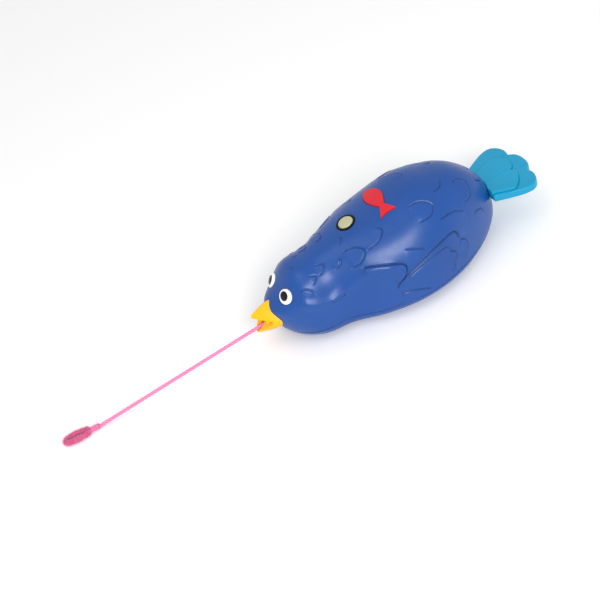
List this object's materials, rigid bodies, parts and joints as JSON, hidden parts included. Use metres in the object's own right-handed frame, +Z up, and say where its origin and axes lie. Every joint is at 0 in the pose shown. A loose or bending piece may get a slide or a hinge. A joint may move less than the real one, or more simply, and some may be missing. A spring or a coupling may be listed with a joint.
{
  "type": "retracting cord bird toy",
  "caption": "Palm-held bird with a spring-wound cord that pulls out through its beak and a thumb button that winds it in.",
  "frame": {"origin": "centre of the flat belly that the bird rests on, midway between beak tip and tail tip", "axes": "+Z up through the back, -Y forwards along the beak, +Y back along the tail, +X to the bird's left"},
  "size_m": [0.075, 0.3088, 0.0589],
  "materials": {
    "blue_plastic": "moulded satin gloss with engraved feather lines",
    "teal_plastic": "moulded satin gloss",
    "yellow_plastic": "moulded satin gloss",
    "white_plastic": "gloss enamel",
    "black_plastic": "gloss enamel",
    "red_plastic": "satin",
    "button_plastic": "polished translucent",
    "grey_plastic": "fine spark texture",
    "steel": "drawn and zinc plated",
    "brass": "turned and polished",
    "rubber": "matt moulded",
    "pink_cord": "round braid",
    "pink_pile": "brushed chenille pile"
  },
  "bodies": {
    "bird_body": {"upper_shell": "blue_plastic", "lower_shell": "blue_plastic", "shell_screw_1": "steel", "shell_screw_2": "steel", "shell_screw_3": "steel", "shell_screw_4": "steel", "eye_white_left": "white_plastic", "eye_pupil_left": "black_plastic", "eye_white_right": "white_plastic", "eye_pupil_right": "black_plastic", "beak": "yellow_plastic", "cord_eyelet": "brass", "tail": "teal_plastic", "back_badge": "red_plastic", "button_collar": "grey_plastic", "button_spring": "steel", "reel_axle": "steel", "axle_clip": "steel", "reel_bracket": "grey_plastic", "bracket_screw_1": "steel", "bracket_screw_2": "steel", "lever_pin": "steel", "brake_spring": "steel", "wound_cord": "pink_cord"},
    "reel": {"cord_reel": "grey_plastic", "spring_cover": "grey_plastic", "power_spring": "steel"},
    "cord": {"pull_cord": "pink_cord", "loop_crimp": "steel", "finger_loop": "pink_cord", "loop_sleeve": "pink_pile"},
    "button": {"button_cap": "button_plastic"},
    "brake": {"brake_lever": "grey_plastic", "brake_pad": "rubber"}
  },
  "joints": [
    {"name": "cord_pull", "type": "slide", "parent": "bird_body", "child": "cord", "axis": [-0.1001, -0.9846, -0.1434], "range_m": [-0.1, 0], "deforming": ["wound_cord"]},
    {"name": "reel_spin", "type": "hinge", "parent": "bird_body", "child": "reel", "pos_m": [0, 0.003, 0.0198], "axis": [1, 0, 0], "range_deg": [-575, 0], "deforming": ["power_spring"]},
    {"name": "button_press", "type": "slide", "parent": "bird_body", "child": "button", "axis": [0, 0.1966, -0.9805], "range_m": [0, 0.0022], "stiffness_N_per_m": 200, "deforming": ["button_spring"]},
    {"name": "brake_rock", "type": "hinge", "parent": "bird_body", "child": "brake", "pos_m": [0, -0.013, 0.036], "axis": [1, 0, 0], "range_deg": [0, 19], "deforming": ["brake_spring"]}
  ],
  "couplings": [
    {"joint": "reel_spin", "follows": "cord_pull", "rad_per_m": 100},
    {"joint": "brake_rock", "follows": "button_press", "rad_per_m": 150}
  ]
}
